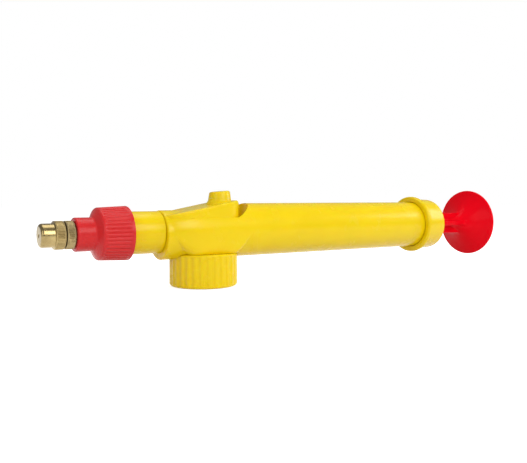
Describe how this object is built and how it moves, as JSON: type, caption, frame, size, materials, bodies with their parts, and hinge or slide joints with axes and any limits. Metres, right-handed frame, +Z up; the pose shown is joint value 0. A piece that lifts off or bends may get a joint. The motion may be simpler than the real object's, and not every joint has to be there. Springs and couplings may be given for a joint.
{
  "type": "pump sprayer",
  "caption": "Hand pump sprayer head for a drinks bottle: swivel screw cap, ball valves, long barrel with plunger and round handle, and an adjustable brass nozzle.",
  "frame": {"origin": "middle of the whole length on the pump's symmetry plane, level with the mouth of the bottle cap", "axes": "+X along the pump from the nozzle to the handle, +Y across, +Z up through the wedge"},
  "size_m": [0.283, 0.0426, 0.0488],
  "materials": {
    "yellow_plastic": "glossy moulded yellow",
    "red_plastic": "glossy moulded red",
    "handle_red": "glossy moulded deep red",
    "brass": "turned brass with fine knurling",
    "natural_plastic": "natural white moulded plastic",
    "rubber": "black rubber",
    "steel": "polished stainless steel"
  },
  "bodies": {
    "body": {"pump_body": "yellow_plastic", "barrel": "yellow_plastic", "barrel_seal": "rubber", "inlet_seat": "natural_plastic", "bottle_gasket": "rubber", "outlet_spring": "steel", "valve_plug": "yellow_plastic", "valve_plug_seal": "rubber", "outlet_tube": "yellow_plastic", "front_nut": "red_plastic", "front_gasket": "rubber", "nozzle_stem": "brass", "end_cap": "yellow_plastic", "rod_guide": "natural_plastic"},
    "bottle_cap": {"bottle_cap": "yellow_plastic"},
    "inlet_ball": {"inlet_ball": "steel"},
    "outlet_ball": {"outlet_ball": "steel"},
    "plunger": {"plunger_rod": "handle_red", "piston": "natural_plastic", "piston_seal": "rubber", "piston_screw": "steel"},
    "nozzle_carriage": {"nozzle_o_ring": "rubber"},
    "nozzle_tip": {"nozzle_tip": "brass"}
  },
  "joints": [
    {"name": "plunger_slide", "type": "slide", "parent": "body", "child": "plunger", "axis": [1, 0, 0], "range_m": [-0.008, 0.096]},
    {"name": "bottle_cap_turn", "type": "hinge", "parent": "body", "child": "bottle_cap", "pos_m": [-0.0615, 0, 0.008], "axis": [0, 0, 1], "continuous": true},
    {"name": "inlet_ball_lift", "type": "slide", "parent": "body", "child": "inlet_ball", "axis": [0, 0, 1], "range_m": [0, 0.0018]},
    {"name": "outlet_ball_lift", "type": "slide", "parent": "body", "child": "outlet_ball", "axis": [0, 0, 1], "range_m": [0, 0.0012], "stiffness_N_per_m": 60, "springref_m": -0.001, "deforming": ["outlet_spring"]},
    {"name": "nozzle_travel", "type": "slide", "parent": "body", "child": "nozzle_carriage", "axis": [-1, 0, 0], "range_m": [0, 0.0016]},
    {"name": "nozzle_turn", "type": "hinge", "parent": "nozzle_carriage", "child": "nozzle_tip", "pos_m": [-0.1365, 0, 0.0275], "axis": [-1, 0, 0], "range_deg": [0, 720]}
  ],
  "couplings": [
    {"joint": "nozzle_turn", "follows": "nozzle_travel", "rad_per_m": 7854}
  ]
}
